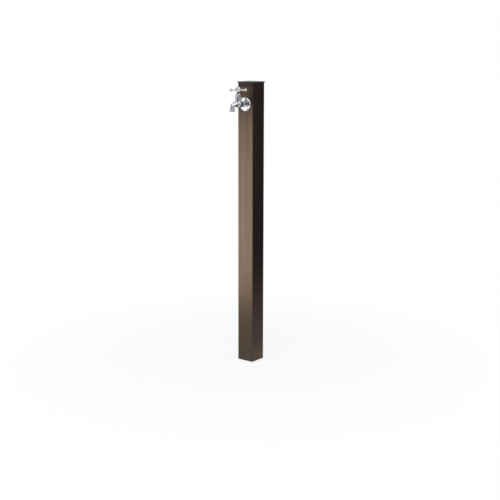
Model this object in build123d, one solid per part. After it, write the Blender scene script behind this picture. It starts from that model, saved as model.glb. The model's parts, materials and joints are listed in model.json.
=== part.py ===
from build123d import *
import math
import os

# A garden standpipe: a square bronze-finished aluminium post with a chrome bib tap near its top.
# A plug in the post's lower end holds the threaded water inlet, a rigid pipe climbs from it
# inside the post, and an elbow behind the front wall turns the water out to the tap. It is a
# screw-down tap: the cross handle turns a threaded spindle, which lifts a jumper valve off its
# seat. Sizes are in millimetres. The origin is the middle of the post's lower end, +Z is up and
# the tap faces -Y.

# Post
post_side = 65.0
post_wall = 2.0
post_corner_radius = 1.6
post_inner_radius = 0.6
overall_height = 1000.0
track_rib_depth = 4.0
track_rib_thickness = 2.0
track_clearance = 0.2
cut_overrun = 3.0

# Cap
cap_overhang = 2.1
cap_flange_thickness = 4.0
cap_skirt_height = 12.0
cap_wall = 3.6
cap_top_thickness = 3.0
cap_corner_radius = 2.2
cap_edge_round = 1.0
seam_chamfer = 0.5
cap_rib_thickness = 2.0
cap_leg_width = 30.0
cap_leg_length = 18.0
cap_leg_thickness = 2.2
cap_leg_clearance = 0.2

# Plug in the lower end
plug_plate = 4.0
plug_height = 16.0
plug_wall = 2.2
plug_clearance = 0.2
plug_web_thickness = 2.4

# Pipe and the joints at its two ends
pipe_outer_radius = 9.0
pipe_wall = 2.5
glue_clearance = 0.05
socket_depth = 14.0
inlet_thread_radius = 9.32
inlet_thread_length = 15.0
inlet_stop_thickness = 3.0
inlet_body_radius = 12.6
inlet_flange_radius = 15.0
inlet_flange_thickness = 3.0
lower_spacer_share = 0.32
upper_spacer_share = 0.68
spacer_height = 16.0
spacer_hub_wall = 3.0
spacer_arm_thickness = 3.0
spacer_pad_width = 18.0
spacer_pad_thickness = 2.4

# Elbow behind the front wall, its mounting plate and screws
tap_drop = 76.5
elbow_boss_radius = 14.6
elbow_flange_radius = 16.6
elbow_flange_thickness = 3.0
elbow_body_radius = 12.6
elbow_drop = 30.0
elbow_hole_clearance = 0.4
insert_wall = 2.5
insert_length = 16.0
plate_thickness = 3.6
plate_height = 56.0
plate_screw_spacing = 39.0
plate_screw_radius = 2.0
plate_screw_head_radius = 3.4
plate_screw_head_height = 2.2
plate_screw_length = 8.0
plate_screw_slot_width = 1.0
plate_screw_slot_depth = 1.0
screw_clearance = 0.1
screw_hole_clearance = 0.3

# Wall flange round the tap's inlet
flange_radius = 25.0
flange_height = 9.6
flange_rim_height = 1.0
flange_crown_radius = 12.6
flange_sheet = 0.9
flange_hole_clearance = 0.25

# Tap body, measured out from the post's front face and up from the tap's axis
tap_thread_radius = 9.9
thread_clearance = 0.05
shank_insertion = 13.0
shank_bore_radius = 6.5
collar_radius = 11.8
collar_width = 2.0
neck_radius = 10.2
stem_reach = 40.0
neck_flare = 0.8
chamber_radius = 12.6
chamber_rise = 1.6
chamber_shoulder_angle = 12.0
barrel_radius = 11.0
barrel_level = 16.0
barrel_height = 26.9
barrel_bead = 0.9
barrel_bead_height = 3.2
spigot_radius = 9.4
spigot_height = 5.6
valve_bore_radius = 7.7
valve_chamber_radius = 9.2
valve_chamber_top = 15.0
seat_level = -0.4
seat_thickness = 2.2
seat_bore_radius = 5.6
pocket_depth = 5.4
pocket_radius = 7.6
pocket_shell = 1.8

# Spout and its screwed nozzle
outlet_reach = 74.0
spout_root_rise = 4.5
spout_root_lean = 14.0
spout_root_radius = 10.6
spout_end_radius = 7.4
spout_bore_root_radius = 7.2
spout_bore_end_radius = 5.4
spout_station_shares = [0, 0.25, 0.5, 0.75, 1]
nozzle_top_drop = 9.5
nozzle_length = 12.0
nozzle_radius = 9.6
nozzle_thread_length = 6.0
nozzle_mouth_radius = 6.6
nozzle_edge = 0.8
nozzle_groove_depth = 0.5
nozzle_groove_width = 1.4

# Gland parts under the bonnet
packing_washer_thickness = 0.9
packing_height = 2.8
gland_radius = 6.9
bonnet_hex_across_flats = 21.6
bonnet_hex_height = 7.4
bonnet_dome_radius = 10.2
bonnet_top_radius = 8.0
bonnet_top_thickness = 1.8
bonnet_corner_chamfer = 1.3
running_clearance = 0.08

# Jumper valve
washer_radius = 7.2
washer_thickness = 3.2
jumper_disc_radius = 7.4
jumper_disc_thickness = 2.2
jumper_stem_radius = 2.9
jumper_stem_length = 12.0
jumper_stud_radius = 1.5
washer_nut_across_flats = 5.4
washer_nut_thickness = 1.8

# Spindle
thread_lead = 3.0
handle_turns = 1.5
spindle_foot_height = 3.0
spindle_foot_radius = 6.4
stem_radius = 4.4
exposed_stem = 6.4
square_across_flats = 6.0
square_clearance = 0.1
square_length = 8.6

# Handle
handle_arm_count = 4
handle_first_arm_angle = 43.0
handle_skirt_radius = 7.0
handle_skirt_height = 3.4
handle_shoulder_radius = 11.2
handle_crown_radius = 5.9
handle_hub_height = 15.2
handle_arm_height = 5.6
handle_arm_root_radius = 4.1
handle_arm_waist_radius = 2.5
handle_arm_waist_reach = 17.5
handle_arm_flare_angle = 20.0
handle_ball_reach = 25.4
handle_ball_radius = 5.6
handle_ball_neck_angle = 45.0
handle_seat_depth = 1.0
handle_screw_radius = 1.9
handle_screw_head_radius = 3.8
handle_screw_head_height = 2.0
handle_screw_length = 9.0
handle_web_thickness = 1.8
handle_cap_radius = 4.9
handle_cap_thickness = 1.2
handle_cap_crown = 0.9
handle_cap_ledge = 0.8

# Levels and centres that several pieces share
tube_length = overall_height - cap_flange_thickness - cap_skirt_height
tap_height = overall_height - tap_drop
front_y = -post_side / 2
inside_half = post_side / 2 - post_wall
pipe_inner_radius = pipe_outer_radius - pipe_wall
pipe_socket_radius = pipe_outer_radius + glue_clearance
inlet_length = inlet_thread_length + inlet_stop_thickness + socket_depth
pipe_bottom = inlet_length - socket_depth
pipe_top = tap_height - elbow_drop + socket_depth
jumper_disc_level = seat_level + washer_thickness
spindle_foot_level = jumper_disc_level + jumper_disc_thickness + running_clearance
spigot_top = barrel_height + spigot_height
packing_level = spigot_top + packing_washer_thickness
gland_top = packing_level + packing_height
bonnet_top = gland_top + bonnet_top_thickness
handle_level = bonnet_top + exposed_stem
square_level = handle_level + handle_seat_depth
square_top = square_level + square_length
web_level = square_top + running_clearance
screw_seat_level = web_level + handle_web_thickness
handle_top = handle_level + handle_hub_height
handle_cap_level = handle_top - handle_cap_ledge
valve_lift = thread_lead * handle_turns

tap_frame = Location(Plane(origin=(0, front_y, tap_height), x_dir=(1, 0, 0), z_dir=(0, -1, 0)))
stem_frame = Location((0, front_y - stem_reach, tap_height))
outlet_frame = Location((0, front_y - outlet_reach, tap_height))


def lathe(*corners):
    """A solid turned about Z from the (radius, height) corners of its half section."""
    return revolve(Plane.XZ * make_face(Polyline(*corners, close=True)), Axis.Z)


def rod(radius, bottom, top):
    """An upright round bar between two heights."""
    return Pos(0, 0, bottom) * extrude(Circle(radius), top - bottom)


def ring(outer_radius, inner_radius, bottom, top):
    """An upright tube between two heights."""
    return Pos(0, 0, bottom) * extrude(Circle(outer_radius) - Circle(inner_radius), top - bottom)


def block(x_size, y_size, bottom, top, x=0, y=0):
    """A box centred on (x, y) between two heights."""
    return Pos(x, y, bottom) * extrude(Rectangle(x_size, y_size), top - bottom)


def track_ribs(growth=0):
    """The two ribs that run down the side walls behind the front wall, as a flat section."""
    rib_y = -inside_half + plate_thickness + track_clearance + track_rib_thickness / 2
    width = track_rib_depth + post_wall / 2 + growth
    section = Rectangle(width, track_rib_thickness + 2 * growth)
    rib_x = inside_half + post_wall / 2 - width / 2
    return Pos(rib_x, rib_y) * section + Pos(-rib_x, rib_y) * section


def make_post_tube():
    bar = extrude(RectangleRounded(post_side, post_side, post_corner_radius), tube_length)
    bar = chamfer(bar.faces().sort_by(Axis.Z)[-1].edges(), seam_chamfer)
    inside = RectangleRounded(2 * inside_half, 2 * inside_half, post_inner_radius) - track_ribs()
    tube = bar - extrude(inside, tube_length)
    drill_depth = post_wall + 2 * cut_overrun
    tap_hole = rod(elbow_boss_radius + elbow_hole_clearance, -drill_depth / 2, drill_depth / 2)
    screw_hole = rod(plate_screw_radius + screw_hole_clearance, -drill_depth / 2, drill_depth / 2)
    holes = tap_hole
    for side in (-1, 1):
        holes += Pos(side * plate_screw_spacing / 2, 0, 0) * screw_hole
    return tube - tap_frame * holes


def make_top_cap():
    flange_side = post_side + 2 * cap_overhang
    flange_bottom = overall_height - cap_flange_thickness
    flange = Pos(0, 0, flange_bottom) * extrude(
        RectangleRounded(flange_side, flange_side, cap_corner_radius), cap_flange_thickness
    )
    flange = fillet(flange.faces().sort_by(Axis.Z)[-1].edges(), cap_edge_round)
    flange = chamfer(flange.faces().sort_by(Axis.Z)[0].edges(), cap_edge_round)
    skirt = Pos(0, 0, tube_length) * extrude(
        RectangleRounded(post_side, post_side, post_corner_radius), cap_skirt_height
    )
    skirt = chamfer(skirt.faces().sort_by(Axis.Z)[0].edges(), seam_chamfer)
    hollow_side = post_side - 2 * cap_wall
    hollow_top = overall_height - cap_top_thickness
    cap = flange + skirt - block(hollow_side, hollow_side, tube_length, hollow_top)
    rib_bottom = tube_length + cap_skirt_height / 2
    cap += block(hollow_side, cap_rib_thickness, rib_bottom, hollow_top)
    cap += block(cap_rib_thickness, hollow_side, rib_bottom, hollow_top)
    leg_offset = inside_half - cap_leg_clearance - cap_leg_thickness / 2
    leg = block(
        cap_leg_thickness,
        cap_leg_width,
        tube_length - cap_leg_length,
        tube_length + cap_skirt_height,
        x=leg_offset,
    )
    for quarter in range(4):
        cap += Rot(0, 0, 90 * quarter) * leg
    return cap


def make_base_plug():
    side = 2 * (inside_half - plug_clearance)
    outline = Rectangle(side, side) - track_ribs(plug_clearance)
    hub_inner_radius = inlet_flange_radius + plug_clearance
    hub_outer_radius = hub_inner_radius + plug_wall
    plug = extrude(outline, plug_height) - Pos(0, 0, plug_plate) * extrude(
        offset(outline, -plug_wall, kind=Kind.INTERSECTION), plug_height
    )
    webs = block(side - plug_wall, plug_web_thickness, plug_plate / 2, plug_height)
    webs += block(plug_web_thickness, side - plug_wall, plug_plate / 2, plug_height)
    plug += webs + rod(hub_outer_radius, 0, plug_height)
    plug -= rod(hub_inner_radius, plug_plate, plug_height + cut_overrun)
    return plug - rod(inlet_body_radius + plug_clearance, -cut_overrun, plug_height)


def make_inlet_socket():
    flange_top = plug_plate + inlet_flange_thickness
    return lathe(
        (inlet_thread_radius, 0),
        (inlet_body_radius, 0),
        (inlet_body_radius, plug_plate),
        (inlet_flange_radius, plug_plate),
        (inlet_flange_radius, flange_top),
        (inlet_body_radius, flange_top),
        (inlet_body_radius, inlet_length),
        (pipe_socket_radius, inlet_length),
        (pipe_socket_radius, pipe_bottom),
        (pipe_inner_radius, pipe_bottom),
        (pipe_inner_radius, inlet_thread_length),
        (inlet_thread_radius, inlet_thread_length),
    )


def make_supply_pipe():
    return ring(pipe_outer_radius, pipe_inner_radius, pipe_bottom, pipe_top)


def make_pipe_spacer(share):
    """A moulded spider that keeps the pipe in the middle, at a share of the pipe's length."""
    bottom = pipe_bottom + share * (pipe_top - pipe_bottom)
    top = bottom + spacer_height
    bore_radius = pipe_outer_radius + plug_clearance
    reach = inside_half - plug_clearance
    spider = rod(bore_radius + spacer_hub_wall, bottom, top)
    pad_offset = reach - spacer_pad_thickness / 2
    for quarter in range(4):
        arm = block(reach, spacer_arm_thickness, bottom, top, x=reach / 2)
        pad = block(spacer_pad_thickness, spacer_pad_width, bottom, top, x=pad_offset)
        spider += Rot(0, 0, 90 * quarter) * (arm + pad)
    return spider - rod(bore_radius, bottom - cut_overrun, top + cut_overrun)


def make_tap_elbow():
    pocket_radius_here = tap_thread_radius + insert_wall + glue_clearance
    depth = -front_y
    flange_depth = post_wall + plate_thickness
    leg = lathe(
        (0, 0),
        (elbow_boss_radius, 0),
        (elbow_boss_radius, -flange_depth),
        (elbow_flange_radius, -flange_depth),
        (elbow_flange_radius, -flange_depth - elbow_flange_thickness),
        (elbow_body_radius, -flange_depth - elbow_flange_thickness),
        (elbow_body_radius, -depth),
        (0, -depth),
    )
    corner = Pos(0, 0, tap_height) * Sphere(elbow_body_radius)
    elbow = tap_frame * leg + corner + rod(elbow_body_radius, tap_height - elbow_drop, tap_height)
    elbow -= tap_frame * rod(pocket_radius_here, -insert_length, cut_overrun)
    elbow -= tap_frame * rod(pipe_inner_radius, -depth, 0)
    elbow -= Pos(0, 0, tap_height) * Sphere(pipe_inner_radius)
    elbow -= rod(pipe_inner_radius, pipe_top - cut_overrun, tap_height)
    return elbow - rod(pipe_socket_radius, tap_height - elbow_drop - cut_overrun, pipe_top)


def make_elbow_insert():
    bore_radius = tap_thread_radius + thread_clearance
    return tap_frame * ring(tap_thread_radius + insert_wall, bore_radius, -insert_length, 0)


def make_elbow_plate():
    width = 2 * (inside_half - post_inner_radius - track_clearance)
    plate = Rectangle(width, plate_height) - Circle(elbow_boss_radius + track_clearance)
    for side in (-1, 1):
        plate -= Pos(side * plate_screw_spacing / 2, 0) * Circle(plate_screw_radius + screw_clearance)
    return tap_frame * Pos(0, 0, -post_wall - plate_thickness) * extrude(plate, plate_thickness)


def make_plate_screws():
    """Two slotted pan-head screws, hidden under the wall flange."""
    head = rod(plate_screw_head_radius, 0, plate_screw_head_height)
    slot = block(
        2 * plate_screw_head_radius + cut_overrun,
        plate_screw_slot_width,
        plate_screw_head_height - plate_screw_slot_depth,
        plate_screw_head_height + cut_overrun,
    )
    screw = head + rod(plate_screw_radius, -plate_screw_length, 0) - slot
    offset_x = plate_screw_spacing / 2
    return [tap_frame * Pos(side * offset_x, 0, 0) * screw for side in (-1, 1)]


def make_wall_flange():
    """A pressed dish whose rim meets the post and whose crown meets the tap's collar."""
    hole_radius = tap_thread_radius + flange_hole_clearance

    def crown(thickness):
        rim = flange_radius - thickness
        top = flange_height - thickness
        width = rim - flange_crown_radius
        rise = top - flange_rim_height
        center = (flange_crown_radius, flange_rim_height)
        arc = EllipticalCenterArc(center, width, rise, start_angle=0, arc_size=90)
        return rim, top, arc

    rim, top, outer_arc = crown(0)
    inner_rim, inner_top, inner_arc = crown(flange_sheet)
    outline = [
        Line((inner_rim, 0), (rim, 0)),
        Line((rim, 0), (rim, flange_rim_height)),
        outer_arc,
        Line((flange_crown_radius, top), (hole_radius, top)),
        Line((hole_radius, top), (hole_radius, inner_top)),
        Line((hole_radius, inner_top), (flange_crown_radius, inner_top)),
        inner_arc,
        Line((inner_rim, flange_rim_height), (inner_rim, 0)),
    ]
    return tap_frame * revolve(Plane.XZ * make_face(outline), Axis.Z)


def spout_line():
    """The spout's centre line in (reach, height), from the stem's axis to the top of the nozzle."""
    lean = math.radians(spout_root_lean)
    return Spline(
        (stem_reach, spout_root_rise),
        (outlet_reach, -nozzle_top_drop),
        tangents=[(math.cos(lean), -math.sin(lean)), (0, -1)],
    )


def spout_skin(root_radius, end_radius):
    """A tapering pipe lofted through circles along the spout's centre line."""
    line = spout_line()
    circles = []
    for share in spout_station_shares:
        point = line @ share
        heading = line % share
        radius = root_radius + (end_radius - root_radius) * share
        center = (0, front_y - point.X, tap_height + point.Y)
        plane = Plane(origin=center, x_dir=(1, 0, 0), z_dir=(0, -heading.X, heading.Y))
        circles.append(plane * Circle(radius))
    return loft(circles)


def make_inlet_neck():
    """The threaded shank, the collar that presses on the flange, and the neck to the chamber."""
    shank_radius = tap_thread_radius - thread_clearance
    collar_end = flange_height + collar_width
    return tap_frame * lathe(
        (0, -shank_insertion),
        (shank_radius, -shank_insertion),
        (shank_radius, flange_height),
        (collar_radius, flange_height),
        (collar_radius, collar_end),
        (neck_radius, collar_end),
        (neck_radius + neck_flare, stem_reach),
        (0, stem_reach),
    )


def make_chamber():
    """The round valve chamber with the barrel and the bonnet's spigot above it."""
    shoulder = math.radians(chamber_shoulder_angle)
    shoulder_point = (
        chamber_radius * math.cos(shoulder),
        chamber_rise + chamber_radius * math.sin(shoulder),
    )
    bead_radius = barrel_radius + barrel_bead
    bead_level = barrel_height - barrel_bead_height
    outline = [
        CenterArc((0, chamber_rise), chamber_radius, -90, 90 + chamber_shoulder_angle),
        Spline(
            shoulder_point,
            (barrel_radius, barrel_level),
            tangents=[(-math.sin(shoulder), math.cos(shoulder)), (0, 1)],
        ),
        Polyline(
            (barrel_radius, barrel_level),
            (barrel_radius, bead_level),
            (bead_radius, bead_level + barrel_bead),
            (bead_radius, barrel_height),
            (spigot_radius, barrel_height),
            (spigot_radius, spigot_top),
            (0, spigot_top),
            (0, chamber_rise - chamber_radius),
        ),
    ]
    return stem_frame * revolve(Plane.XZ * make_face(outline), Axis.Z)


def make_tap_body():
    end_level = -nozzle_top_drop - nozzle_thread_length
    body = make_chamber() + make_inlet_neck() + spout_skin(spout_root_radius, spout_end_radius)
    body += outlet_frame * rod(spout_end_radius, end_level, -nozzle_top_drop)
    return body - make_waterway()


def make_waterway():
    """The passages inside the tap body: in below the valve seat, out above it."""
    pocket_top = seat_level - seat_thickness
    pocket_floor = pocket_top - pocket_depth
    inner_ball = Pos(0, 0, chamber_rise) * Sphere(chamber_radius - pocket_shell)
    pocket = stem_frame * (rod(pocket_radius, pocket_floor, pocket_top) & inner_ball)
    bore_end = stem_reach - chamber_radius + pocket_shell
    inlet = tap_frame * rod(shank_bore_radius, -shank_insertion - cut_overrun, bore_end)
    duct_radius = pocket_depth / 2
    duct_start = Vector(0, front_y - bore_end + shank_bore_radius, tap_height - shank_bore_radius / 2)
    duct_end = Vector(0, front_y - stem_reach, tap_height + pocket_top - duct_radius)
    duct_line = duct_end - duct_start
    duct_plane = Plane(origin=duct_start, x_dir=(1, 0, 0), z_dir=duct_line)
    duct = extrude(duct_plane * Circle(duct_radius), duct_line.length)
    seat = stem_frame * rod(seat_bore_radius, pocket_floor + duct_radius, seat_level + cut_overrun)
    chamber = stem_frame * rod(valve_chamber_radius, seat_level, valve_chamber_top)
    valve_bore = stem_frame * rod(valve_bore_radius, seat_level, spigot_top + cut_overrun)
    outlet = spout_skin(spout_bore_root_radius, spout_bore_end_radius)
    outlet -= stem_frame * rod(valve_chamber_radius, -chamber_radius, seat_level)
    mouth = outlet_frame * rod(
        spout_bore_end_radius, -nozzle_top_drop - nozzle_length, -nozzle_top_drop
    )
    return pocket + inlet + duct + seat + chamber + valve_bore + outlet + mouth


def make_spout_nozzle():
    """A screwed ring on the spout's end, with two shallow grip grooves."""
    top = -nozzle_top_drop
    bottom = top - nozzle_length
    shelf = top - nozzle_thread_length
    bore = spout_end_radius + thread_clearance
    corners = [
        (bore, top),
        (nozzle_radius - nozzle_edge, top),
        (nozzle_radius, top - nozzle_edge),
    ]
    groove_step = nozzle_length / 3
    for number in (1, 2):
        middle = top - number * groove_step
        corners += [
            (nozzle_radius, middle + nozzle_groove_width / 2),
            (nozzle_radius - nozzle_groove_depth, middle),
            (nozzle_radius, middle - nozzle_groove_width / 2),
        ]
    corners += [
        (nozzle_radius, bottom + nozzle_edge),
        (nozzle_radius - nozzle_edge, bottom),
        (nozzle_mouth_radius, bottom),
        (nozzle_mouth_radius, shelf),
        (bore, shelf),
    ]
    return outlet_frame * lathe(*corners)


def make_bonnet():
    """A hexagon cap nut over the barrel's spigot, tapering to the stem."""
    hex_top = barrel_height + bonnet_hex_height
    corner_radius = bonnet_hex_across_flats / math.sqrt(3)
    hexagon = RegularPolygon(bonnet_hex_across_flats / 2, 6, major_radius=False)
    nut = Pos(0, 0, barrel_height) * extrude(hexagon, bonnet_hex_height)
    turned = lathe(
        (0, barrel_height),
        (corner_radius - bonnet_corner_chamfer, barrel_height),
        (corner_radius, barrel_height + bonnet_corner_chamfer),
        (corner_radius, hex_top - bonnet_corner_chamfer),
        (corner_radius - bonnet_corner_chamfer, hex_top),
        (0, hex_top),
    )
    dome = lathe(
        (0, barrel_height),
        (bonnet_dome_radius, barrel_height),
        (bonnet_dome_radius, hex_top),
        (bonnet_top_radius, bonnet_top),
        (0, bonnet_top),
    )
    hollow = lathe(
        (0, barrel_height - cut_overrun),
        (spigot_radius + thread_clearance, barrel_height - cut_overrun),
        (spigot_radius + thread_clearance, spigot_top),
        (gland_radius + thread_clearance, spigot_top),
        (gland_radius + thread_clearance, gland_top),
        (stem_radius + running_clearance, gland_top),
        (stem_radius + running_clearance, bonnet_top + cut_overrun),
        (0, bonnet_top + cut_overrun),
    )
    return stem_frame * ((nut & turned) + dome - hollow)


def make_packing_washer():
    return stem_frame * ring(gland_radius, stem_radius + running_clearance, spigot_top, packing_level)


def make_gland_packing():
    return stem_frame * ring(gland_radius, stem_radius + running_clearance, packing_level, gland_top)


def make_valve_washer():
    hole_radius = jumper_stud_radius + running_clearance
    return stem_frame * ring(washer_radius, hole_radius, seat_level, jumper_disc_level)


def make_jumper_valve():
    disc_top = jumper_disc_level + jumper_disc_thickness
    jumper = rod(jumper_disc_radius, jumper_disc_level, disc_top)
    jumper += rod(jumper_stem_radius, jumper_disc_level, disc_top + jumper_stem_length)
    jumper += rod(jumper_stud_radius, seat_level - washer_nut_thickness, jumper_disc_level)
    return stem_frame * jumper


def make_washer_nut():
    hexagon = RegularPolygon(washer_nut_across_flats / 2, 6, major_radius=False)
    nut = extrude(hexagon - Circle(jumper_stud_radius + thread_clearance), washer_nut_thickness)
    return stem_frame * Pos(0, 0, seat_level - washer_nut_thickness) * nut


def make_spindle():
    """Threaded foot in the body, plain stem through the gland, square end in the handle."""
    foot_top = spindle_foot_level + spindle_foot_height
    thread_top = spigot_top - valve_lift - running_clearance
    thread_radius = valve_bore_radius - running_clearance
    taper = thread_radius - stem_radius
    spindle = lathe(
        (0, spindle_foot_level),
        (spindle_foot_radius, spindle_foot_level),
        (spindle_foot_radius, foot_top),
        (thread_radius, foot_top),
        (thread_radius, thread_top - taper),
        (stem_radius, thread_top),
        (stem_radius, square_level),
        (0, square_level),
    )
    spindle += Pos(0, 0, square_level) * extrude(
        Rectangle(square_across_flats, square_across_flats), square_length
    )
    socket_radius = jumper_stem_radius + running_clearance
    socket_top = spindle_foot_level + jumper_stem_length + running_clearance
    spindle -= rod(socket_radius, spindle_foot_level - cut_overrun, socket_top)
    tapping_radius = handle_screw_radius + thread_clearance
    tapping_bottom = screw_seat_level - handle_screw_length - running_clearance
    spindle -= rod(tapping_radius, tapping_bottom, square_top + cut_overrun)
    return stem_frame * spindle


def handle_arm():
    """One arm, lying along +X from the stem: flared at the hub, waisted, then swelling to a ball."""
    start = handle_skirt_radius / 2
    flare = math.radians(handle_arm_flare_angle)
    neck = math.radians(handle_ball_neck_angle)
    ball_point = (
        handle_ball_reach - handle_ball_radius * math.cos(neck),
        handle_ball_radius * math.sin(neck),
    )
    waist = (handle_arm_waist_reach, handle_arm_waist_radius)
    tip = (handle_ball_reach + handle_ball_radius, 0)
    outline = [
        Polyline(tip, (start, 0), (start, handle_arm_root_radius)),
        Spline(
            (start, handle_arm_root_radius),
            waist,
            tangents=[(math.cos(flare), -math.sin(flare)), (1, 0)],
        ),
        Spline(waist, ball_point, tangents=[(1, 0), (math.sin(neck), math.cos(neck))]),
        CenterArc(
            (handle_ball_reach, 0),
            handle_ball_radius,
            180 - handle_ball_neck_angle,
            handle_ball_neck_angle - 180,
        ),
    ]
    return revolve(make_face(outline), Axis.X)


def make_handle():
    arm_level = handle_level + handle_arm_height
    skirt_top = handle_level + handle_skirt_height
    shoulder_top = arm_level + handle_arm_root_radius / 2
    outline = [
        Polyline(
            (0, handle_top),
            (0, handle_level),
            (handle_skirt_radius, handle_level),
            (handle_skirt_radius, skirt_top),
            (handle_shoulder_radius, arm_level),
            (handle_shoulder_radius, shoulder_top),
        ),
        Spline(
            (handle_shoulder_radius, shoulder_top),
            (handle_crown_radius, handle_top),
            tangents=[(-1, 1), (-1, 1)],
        ),
        Line((handle_crown_radius, handle_top), (0, handle_top)),
    ]
    handle = revolve(Plane.XZ * make_face(outline), Axis.Z)
    for number in range(handle_arm_count):
        turn = handle_first_arm_angle + number * 360 / handle_arm_count
        handle += Rot(0, 0, turn) * Pos(0, 0, arm_level) * handle_arm()
    square_side = square_across_flats + 2 * square_clearance
    handle -= block(square_side, square_side, handle_level, web_level)
    handle -= rod(stem_radius + running_clearance, handle_level - cut_overrun, square_level)
    handle -= rod(handle_screw_radius + screw_clearance, web_level - cut_overrun, handle_top)
    handle -= rod(handle_screw_head_radius + screw_clearance, screw_seat_level, handle_top + cut_overrun)
    handle -= rod(handle_cap_radius + screw_clearance, handle_cap_level, handle_top + cut_overrun)
    return stem_frame * handle


def make_handle_screw():
    head_top = screw_seat_level + handle_screw_head_height
    screw = rod(handle_screw_head_radius, screw_seat_level, head_top)
    screw += rod(handle_screw_radius, screw_seat_level - handle_screw_length, screw_seat_level)
    return stem_frame * screw


def make_handle_cap():
    crown_level = handle_cap_level + handle_cap_thickness + handle_cap_crown
    crown_radius = (handle_cap_radius**2 + handle_cap_crown**2) / (2 * handle_cap_crown)
    crown = Pos(0, 0, crown_level - crown_radius) * Sphere(crown_radius)
    return stem_frame * (rod(handle_cap_radius, handle_cap_level, crown_level) & crown)


parts = {
    "post_tube": make_post_tube(),
    "top_cap": make_top_cap(),
    "base_plug": make_base_plug(),
    "inlet_socket": make_inlet_socket(),
    "supply_pipe": make_supply_pipe(),
    "pipe_spacer_lower": make_pipe_spacer(lower_spacer_share),
    "pipe_spacer_upper": make_pipe_spacer(upper_spacer_share),
    "tap_elbow": make_tap_elbow(),
    "elbow_insert": make_elbow_insert(),
    "elbow_plate": make_elbow_plate(),
    "plate_screws": make_plate_screws(),
    "wall_flange": make_wall_flange(),
    "tap_body": make_tap_body(),
    "spout_nozzle": make_spout_nozzle(),
    "bonnet": make_bonnet(),
    "packing_washer": make_packing_washer(),
    "gland_packing": make_gland_packing(),
    "valve_washer": make_valve_washer(),
    "jumper_valve": make_jumper_valve(),
    "washer_nut": make_washer_nut(),
    "spindle": make_spindle(),
    "handle": make_handle(),
    "handle_screw": make_handle_screw(),
    "handle_cap": make_handle_cap(),
}

os.makedirs("parts", exist_ok=True)
for name, shape in parts.items():
    solids = shape if isinstance(shape, list) else shape.solids()
    export_step(Compound(children=list(solids)) if len(solids) > 1 else solids[0], f"parts/{name}.step")
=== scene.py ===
import json
import math

import bpy
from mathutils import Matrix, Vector

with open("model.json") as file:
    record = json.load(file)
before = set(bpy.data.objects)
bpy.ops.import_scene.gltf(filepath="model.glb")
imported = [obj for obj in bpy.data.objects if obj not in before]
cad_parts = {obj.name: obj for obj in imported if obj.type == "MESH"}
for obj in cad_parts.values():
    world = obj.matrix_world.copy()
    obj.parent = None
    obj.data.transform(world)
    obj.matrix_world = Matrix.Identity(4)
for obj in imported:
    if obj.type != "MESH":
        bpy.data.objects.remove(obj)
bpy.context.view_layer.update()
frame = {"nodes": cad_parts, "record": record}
nodes = frame["nodes"]

# Angles are in degrees and lengths in metres, unless a comment gives another unit.

# Camera, as fitted to the photograph
PHOTO_SIZE = 500  # pixels
SENSOR_WIDTH = 36.0  # millimetres
FOCAL_PIXELS = 1077.194  # the focal length, in pixels of the photograph
CAMERA_AZIMUTH = 37.75919
CAMERA_ELEVATION = 11.81913
CAMERA_ROLL = 0.10046
CAMERA_DISTANCE = 3.85148
CAMERA_AIM = Vector((-0.0025, -0.00193, 0.40354))
CAMERA_REACH = 60

# Materials
BUMP_DEPTH = 0.0001
EDGE_WORN = 0.8  # cosine between a normal and its rounded copy, from which down an edge is fully worn
EDGE_FLAT = 0.995  # and from which up it isn't worn at all
GRAIN_SPREAD = 0.06  # how far a moulding's grain moves its roughness each way

# Studio
TAP_HEIGHT = 0.93
TAP = (0, -0.06, TAP_HEIGHT)
WORLD_FILL = 0.6
FLOOR_HALF = 12.0
FLOOR_GAP = 0.0003  # keeps the floor off the plane of the foot
FLOOR_ALBEDO = 0.86
FLOOR_NEAR = 0.25  # the floor starts to whiten at this distance from the post's middle
FLOOR_FAR = 1.1  # and is plain white from here
FLOOR_WHITE = 0.8  # the share of plain white that it has before that


def direction(azimuth, elevation):
    """The unit vector towards a place, with azimuth 0 at -Y and turning towards +X."""
    turn, rise = math.radians(azimuth), math.radians(elevation)
    flat = math.cos(rise)
    return Vector((math.sin(turn) * flat, -math.cos(turn) * flat, math.sin(rise)))


def make_camera():
    data = bpy.data.cameras.new("camera")
    data.sensor_width = SENSOR_WIDTH
    data.lens = FOCAL_PIXELS * SENSOR_WIDTH / PHOTO_SIZE
    data.clip_end = CAMERA_REACH
    camera = bpy.data.objects.new("camera", data)
    back = direction(CAMERA_AZIMUTH, CAMERA_ELEVATION)
    camera.location = CAMERA_AIM + back * CAMERA_DISTANCE
    camera.rotation_euler = back.to_track_quat("Z", "Y").to_euler()
    camera.rotation_euler.rotate_axis("Z", math.radians(CAMERA_ROLL))
    bpy.context.scene.collection.objects.link(camera)
    bpy.context.scene.camera = camera


# Materials


def linear(red, green, blue):
    """An sRGB colour, in 0 to 255, as the linear values that shaders take."""
    def curve(value):
        share = value / 255
        return share / 12.92 if share <= 0.04045 else ((share + 0.055) / 1.055) ** 2.4
    return (curve(red), curve(green), curve(blue), 1)


def mix_colours(tree, share, first, second):
    """A mix of two colours. Each value is a socket to link, or a constant."""
    made = tree.nodes.new("ShaderNodeMix")
    made.data_type = "RGBA"
    sockets = [socket for socket in made.inputs if socket.enabled]
    for socket, value in zip(sockets, (share, first, second)):
        if isinstance(value, bpy.types.NodeSocket):
            tree.links.new(value, socket)
        else:
            socket.default_value = value
    return next(socket for socket in made.outputs if socket.enabled)


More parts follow.
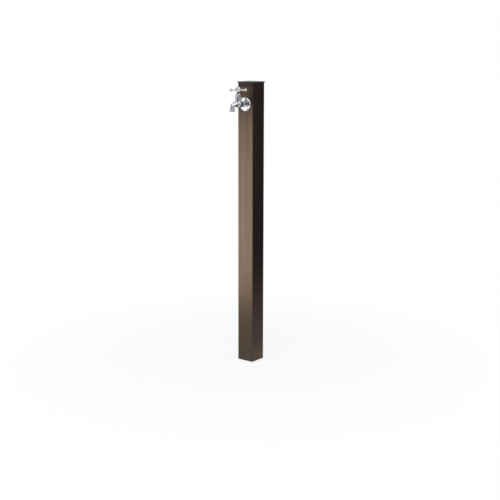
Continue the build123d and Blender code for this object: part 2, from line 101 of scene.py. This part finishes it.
class Shader:
    """A material of nodes: makes nodes, links them, and ends in one Principled shader."""

    def __init__(self, name):
        self.material = bpy.data.materials.new(name)
        self.material.use_nodes = True
        self.tree = self.material.node_tree
        self.surface = self.tree.nodes["Principled BSDF"]
        coordinates = self.tree.nodes.new("ShaderNodeTexCoord")
        self.place = coordinates.outputs["Object"]

    def set(self, **values):
        for name, value in values.items():
            self.surface.inputs[name.replace("_", " ")].default_value = value

    def feed(self, name, socket):
        self.tree.links.new(socket, self.surface.inputs[name])

    def node(self, kind, **inputs):
        """A node with its inputs linked to sockets or set to constants."""
        made = self.tree.nodes.new(kind)
        for name, value in inputs.items():
            target = made.inputs[name.replace("_", " ")]
            if isinstance(value, bpy.types.NodeSocket):
                self.tree.links.new(value, target)
            else:
                target.default_value = value
        return made

    def stretched(self, x, y, z):
        """The object's coordinates times a scale on each axis."""
        mapping = self.node("ShaderNodeMapping", Vector=self.place)
        mapping.inputs["Scale"].default_value = (x, y, z)
        return mapping.outputs["Vector"]

    def noise(self, vector, scale=1.0, detail=3.0, roughness=0.5):
        made = self.node(
            "ShaderNodeTexNoise", Vector=vector, Scale=scale, Detail=detail, Roughness=roughness
        )
        return made.outputs["Fac"]

    def span(self, value, low, high, start=0.0, end=1.0):
        """value, which runs from start to end, spread over low to high."""
        made = self.node("ShaderNodeMapRange", Value=value)
        made.clamp = True
        for name, number in (("From Min", start), ("From Max", end), ("To Min", low), ("To Max", high)):
            made.inputs[name].default_value = number
        return made.outputs["Result"]

    def mix(self, share, first, second):
        return mix_colours(self.tree, share, first, second)

    def edges(self, radius):
        """0 on flat places and towards 1 on edges sharper than the radius."""
        bevel = self.node("ShaderNodeBevel", Radius=radius)
        geometry = self.tree.nodes.new("ShaderNodeNewGeometry")
        dot = self.tree.nodes.new("ShaderNodeVectorMath")
        dot.operation = "DOT_PRODUCT"
        self.tree.links.new(bevel.outputs["Normal"], dot.inputs[0])
        self.tree.links.new(geometry.outputs["Normal"], dot.inputs[1])
        return self.span(dot.outputs["Value"], 1.0, 0.0, start=EDGE_WORN, end=EDGE_FLAT)

    def bump(self, height, strength, rounding=0.0):
        """Bump from a height, with edges softened by the radius rounding, if one is given."""
        made = self.node("ShaderNodeBump", Height=height, Strength=strength, Distance=BUMP_DEPTH)
        if rounding:
            bevel = self.node("ShaderNodeBevel", Radius=rounding)
            self.tree.links.new(bevel.outputs["Normal"], made.inputs["Normal"])
        self.feed("Normal", made.outputs["Normal"])


def bronze_aluminium():
    """Dark bronze anodised extrusion: faint die lines up its length, edges rubbed a shade lighter."""
    shader = Shader("bronze_aluminium")
    clouds = shader.noise(shader.stretched(6, 6, 3), detail=4.0)
    lines = shader.noise(shader.stretched(1600, 1600, 3), detail=2.0)
    bands = shader.noise(shader.stretched(260, 260, 1.5))
    streaks = shader.span(bands, 0.0, 1.0, start=0.3, end=0.7)
    tone = shader.mix(streaks, linear(75, 63, 53), linear(84, 72, 61))
    worn = shader.span(shader.edges(0.0012), 0.0, 0.35)
    shader.feed("Base Color", shader.mix(worn, tone, linear(112, 98, 86)))
    shader.feed("Roughness", shader.span(clouds, 0.30, 0.37, start=0.3, end=0.7))
    shader.set(Metallic=1.0)
    shader.bump(lines, strength=0.16, rounding=0.0004)
    return shader.material


def bronze_cap():
    """The moulded cap: the same bronze with a fine moulded grain; its darker tone is partly painted
    shade along the lip.
    """
    shader = Shader("bronze_cap")
    grain = shader.noise(shader.place, scale=2600.0, detail=2.0)
    clouds = shader.noise(shader.place, scale=18.0, detail=4.0)
    speckle = shader.span(grain, 0.0, 1.0, start=0.3, end=0.7)
    # These browns are set below the post's partly as painted shade, standing in for the shade along the
    # cap's lip.
    tone = shader.mix(shader.mix(0.5, clouds, speckle), linear(49, 39, 36), linear(61, 48, 44))
    worn = shader.span(shader.edges(0.0008), 0.0, 0.3)
    shader.feed("Base Color", shader.mix(worn, tone, linear(104, 90, 82)))
    shader.feed("Roughness", shader.span(grain, 0.30, 0.42))
    shader.set(Metallic=0.8)
    shader.bump(grain, strength=0.3, rounding=0.0005)
    return shader.material


def chrome_plate():
    """Bright chrome plate: slightly uneven polish, faint water marks, softened edges."""
    shader = Shader("chrome_plate")
    marks = shader.noise(shader.place, scale=160.0, detail=6.0, roughness=0.65)
    polish = shader.noise(shader.place, scale=900.0)
    spots = shader.span(marks, 0.0, 1.0, start=0.56, end=0.74)
    shader.feed("Base Color", shader.mix(spots, linear(199, 200, 203), linear(186, 188, 192)))
    shader.feed("Roughness", shader.span(marks, 0.11, 0.23, start=0.45, end=0.8))
    shader.set(Metallic=1.0)
    shader.bump(polish, strength=0.02, rounding=0.0005)
    return shader.material


def plated_stem():
    """The turned stem: satin plate with fine turning rings, darkened as painted shade for the gap under
    the handle hub.
    """
    shader = Shader("plated_stem")
    rings = shader.noise(shader.stretched(60, 60, 5200), detail=2.0)
    # Painted shade: these greys sit well below the chrome to stand in for the shade between the handle
    # hub and the bonnet.
    shader.feed("Base Color", shader.mix(rings, linear(80, 78, 76), linear(98, 96, 94)))
    shader.feed("Roughness", shader.span(rings, 0.2, 0.34))
    shader.set(Metallic=1.0)
    shader.bump(rings, strength=0.15)
    return shader.material


def brass():
    """Turned brass, a little dulled."""
    shader = Shader("brass")
    dull = shader.noise(shader.place, scale=240.0, detail=5.0)
    rings = shader.noise(shader.stretched(80, 80, 4200), detail=2.0)
    shader.feed("Base Color", shader.mix(dull, linear(196, 158, 92), linear(150, 116, 66)))
    shader.feed("Roughness", shader.span(dull, 0.24, 0.45))
    shader.set(Metallic=1.0)
    shader.bump(rings, strength=0.1, rounding=0.0002)
    return shader.material


def stainless_steel():
    """Rolled stainless sheet and screws, brushed one way."""
    shader = Shader("stainless_steel")
    brush = shader.noise(shader.stretched(40, 2400, 2400), detail=2.0)
    shader.feed("Base Color", shader.mix(brush, linear(178, 180, 184), linear(198, 200, 203)))
    shader.feed("Roughness", shader.span(brush, 0.28, 0.42))
    shader.set(Metallic=1.0)
    shader.bump(brush, strength=0.08, rounding=0.0002)
    return shader.material


def moulded(name, dark, light, roughness):
    """Moulded plastic or rubber: a fine grain, and a slow change of tone."""
    shader = Shader(name)
    grain = shader.noise(shader.place, scale=2200.0, detail=2.0)
    clouds = shader.noise(shader.place, scale=30.0)
    shader.feed("Base Color", shader.mix(clouds, dark, light))
    shader.feed("Roughness", shader.span(grain, roughness - GRAIN_SPREAD, roughness + GRAIN_SPREAD))
    shader.bump(grain, strength=0.12, rounding=0.0003)
    return shader.material


MATERIALS = {
    "bronze_aluminium": bronze_aluminium(),
    "bronze_cap": bronze_cap(),
    "chrome_plate": chrome_plate(),
    "plated_stem": plated_stem(),
    "brass": brass(),
    "stainless_steel": stainless_steel(),
    "grey_pvc": moulded("grey_pvc", linear(92, 96, 102), linear(104, 108, 114), roughness=0.42),
    "dark_resin": moulded("dark_resin", linear(44, 42, 41), linear(54, 51, 49), roughness=0.55),
    "packing_rubber": moulded("packing_rubber", linear(30, 30, 30), linear(42, 41, 40), roughness=0.8),
}


def dress_nodes():
    """Gives each node of the frame the material of its slot in the record."""
    for row in frame["record"]["subparts"]:
        mesh = nodes[row["node"]].data
        mesh.materials.clear()
        mesh.materials.append(MATERIALS[row["material_slot"]])


# Studio


def seen_directly(tree):
    """1 for camera, glossy and transmission rays, else 0."""
    path = tree.nodes.new("ShaderNodeLightPath")
    total = path.outputs["Is Camera Ray"]
    for name in ("Is Glossy Ray", "Is Transmission Ray"):
        most = tree.nodes.new("ShaderNodeMath")
        most.operation = "MAXIMUM"
        tree.links.new(total, most.inputs[0])
        tree.links.new(path.outputs[name], most.inputs[1])
        total = most.outputs["Value"]
    return total


def make_world():
    """White wherever the camera or a reflection looks, and a soft grey fill for the rest."""
    world = bpy.data.worlds.new("studio")
    bpy.context.scene.world = world
    world.use_nodes = True
    tree = world.node_tree
    fill = tree.nodes["Background"]
    fill.inputs["Color"].default_value = (1, 1, 1, 1)
    fill.inputs["Strength"].default_value = WORLD_FILL
    white = tree.nodes.new("ShaderNodeBackground")
    white.inputs["Color"].default_value = (1, 1, 1, 1)
    white.inputs["Strength"].default_value = 1.0
    mix = tree.nodes.new("ShaderNodeMixShader")
    tree.links.new(seen_directly(tree), mix.inputs["Fac"])
    tree.links.new(fill.outputs["Background"], mix.inputs[1])
    tree.links.new(white.outputs["Background"], mix.inputs[2])
    tree.links.new(mix.outputs["Shader"], tree.nodes["World Output"].inputs["Surface"])


def make_sheet(name, corners):
    """A flat object with four corners, and the node tree of its material, which has no shader yet."""
    mesh = bpy.data.meshes.new(name)
    mesh.from_pydata(corners, [], [(0, 1, 2, 3)])
    sheet = bpy.data.objects.new(name, mesh)
    bpy.context.scene.collection.objects.link(sheet)
    material = bpy.data.materials.new(name)
    material.use_nodes = True
    tree = material.node_tree
    tree.nodes.remove(tree.nodes["Principled BSDF"])
    mesh.materials.append(material)
    return sheet, tree


def smooth_span(tree, value, start, end, low, high):
    """value taken smoothly from low, where it is start, to high, where it is end."""
    made = tree.nodes.new("ShaderNodeMapRange")
    made.interpolation_type = "SMOOTHSTEP"
    for name, number in (("From Min", start), ("From Max", end), ("To Min", low), ("To Max", high)):
        made.inputs[name].default_value = number
    tree.links.new(value, made.inputs["Value"])
    return made.outputs["Result"]


def make_floor():
    """A pale floor that fades to plain white away from the post, and keeps the post's shadow."""
    signs = ((-1, -1), (1, -1), (1, 1), (-1, 1))
    corners = [(x * FLOOR_HALF, y * FLOOR_HALF, -FLOOR_GAP) for x, y in signs]
    floor, tree = make_sheet("floor", corners)
    pale = tree.nodes.new("ShaderNodeBsdfDiffuse")
    pale.inputs["Color"].default_value = (FLOOR_ALBEDO, FLOOR_ALBEDO, FLOOR_ALBEDO, 1)
    white = tree.nodes.new("ShaderNodeEmission")
    white.inputs["Strength"].default_value = 1.0
    place = tree.nodes.new("ShaderNodeTexCoord")
    length = tree.nodes.new("ShaderNodeVectorMath")
    length.operation = "LENGTH"
    tree.links.new(place.outputs["Object"], length.inputs[0])
    whiteness = smooth_span(tree, length.outputs["Value"], FLOOR_NEAR, FLOOR_FAR, FLOOR_WHITE, 1.0)
    share = tree.nodes.new("ShaderNodeMath")
    share.operation = "MULTIPLY"
    tree.links.new(seen_directly(tree), share.inputs[0])
    tree.links.new(whiteness, share.inputs[1])
    mix = tree.nodes.new("ShaderNodeMixShader")
    tree.links.new(share.outputs["Value"], mix.inputs["Fac"])
    tree.links.new(pale.outputs["BSDF"], mix.inputs[1])
    tree.links.new(white.outputs["Emission"], mix.inputs[2])
    tree.links.new(mix.outputs["Shader"], tree.nodes["Material Output"].inputs["Surface"])


def make_card(name, toward, distance, width, span, shade, base=0.0, foot=None, fade=0.0):
    """A plain studio card, facing the post, that only reflections see.

    toward is its azimuth and elevation from a point on the post's axis at the height base. span is
    its lower and upper edge, measured up the card from there. With a foot, the card starts in that
    shade at its lower edge and reaches its own where that measure is fade.
    """
    x = width / 2
    low, high = span
    card, tree = make_sheet(name, [(-x, low, 0), (x, low, 0), (x, high, 0), (-x, high, 0)])
    away = direction(*toward)
    card.location = away * distance + Vector((0, 0, base))
    card.rotation_euler = (-away).to_track_quat("Z", "Y").to_euler()
    glow = tree.nodes.new("ShaderNodeEmission")
    glow.inputs["Color"].default_value = (*shade, 1)
    if foot:
        place = tree.nodes.new("ShaderNodeTexCoord")
        height = tree.nodes.new("ShaderNodeSeparateXYZ")
        tree.links.new(place.outputs["Object"], height.inputs["Vector"])
        rise = smooth_span(tree, height.outputs["Y"], low, fade, 0.0, 1.0)
        tree.links.new(mix_colours(tree, rise, (*foot, 1), (*shade, 1)), glow.inputs["Color"])
    tree.links.new(glow.outputs["Emission"], tree.nodes["Material Output"].inputs["Surface"])
    card.visible_camera = False
    card.visible_diffuse = False
    card.visible_shadow = False


def make_lamp(name, aim, toward, distance, size, watts, diffuse=True, glossy=True):
    """A rectangular softbox that is aimed at a point.

    toward is its azimuth and elevation from there. diffuse and glossy say what it lights.
    """
    data = bpy.data.lights.new(name, "AREA")
    data.shape = "RECTANGLE"
    data.size, data.size_y = size
    data.energy = watts
    lamp = bpy.data.objects.new(name, data)
    lamp.visible_camera = False
    lamp.visible_diffuse = diffuse
    lamp.visible_glossy = glossy
    away = direction(*toward)
    lamp.location = Vector(aim) + away * distance
    lamp.rotation_euler = away.to_track_quat("Z", "Y").to_euler()
    bpy.context.scene.collection.objects.link(lamp)


def light_studio():
    # Seen only in reflections, close to the post on the side that its front face reflects
    make_lamp("key", aim=(0, 0, 0.4675), toward=(-43, 0), distance=0.5,
              size=(0.35, 0.735), watts=1.67, diffuse=False)
    make_lamp("key_core", aim=(0, 0, 0.43), toward=(-43, 0), distance=0.49,
              size=(0.32, 0.46), watts=0.23, diffuse=False)
    # The main light, seen in no reflection
    make_lamp("top", aim=(0, 0, 0.9), toward=(25, 55), distance=2.0,
              size=(1.5, 1.5), watts=27, glossy=False)
    # Windows for the tap's reflections, which light the rest too
    make_lamp("left_window", aim=TAP, toward=(-46, 22), distance=2.0, size=(0.6, 1.2), watts=2.8)
    make_lamp("right_window", aim=TAP, toward=(127, 27), distance=2.0, size=(1.4, 0.9), watts=4.5)
    # For the tap's reflections alone
    make_lamp("front_glow", aim=TAP, toward=(20, -36), distance=1.2,
              size=(1.2, 0.5), watts=1.4, diffuse=False)
    make_lamp("sky", aim=TAP, toward=(35, 68), distance=2.0,
              size=(2.2, 2.2), watts=7, diffuse=False)


def hang_cards():
    # Round the post: two at the side that its right face reflects, one behind it, one to its left
    make_card("right_flag", toward=(136, 0), distance=0.17, width=0.16, span=(0.0, 1.03),
              shade=(0.163, 0.126, 0.18), foot=(0.6, 0.56, 0.64), fade=0.36)
    make_card("low_flag", toward=(142, 0), distance=0.8, width=0.9, span=(0.0, 0.6),
              shade=(0.2, 0.17, 0.2))
    make_card("back_flag", toward=(205, 0), distance=1.3, width=1.3, span=(0.0, 1.25),
              shade=(0.13, 0.13, 0.135))
    make_card("left_flag", toward=(-94, 0), distance=0.8, width=1.05, span=(0.0, 0.72),
              shade=(0.19, 0.185, 0.19), foot=(0.38, 0.38, 0.38), fade=0.25)
    # Before, beside and above the tap, for the darker parts of its reflections
    make_card("front_flag", toward=(-6, 0), distance=1.5, width=0.9, span=(0.6, 1.72),
              shade=(0.4, 0.4, 0.42))
    make_card("camera_flag", toward=(28, 0), distance=1.45, width=1.0, span=(0.52, 1.65),
              shade=(0.05, 0.05, 0.06))
    make_card("side_flag", toward=(88, 0), distance=1.5, width=1.4, span=(0.45, 0.93),
              shade=(0.3, 0.3, 0.32))
    make_card("upper_flag", toward=(-30, 52), distance=1.5, width=1.2, span=(-0.25, 0.25),
              shade=(0.06, 0.06, 0.07), base=TAP_HEIGHT)


bpy.context.scene.view_settings.view_transform = "Standard"
make_camera()
make_world()
make_floor()
light_studio()
hang_cards()
dress_nodes()
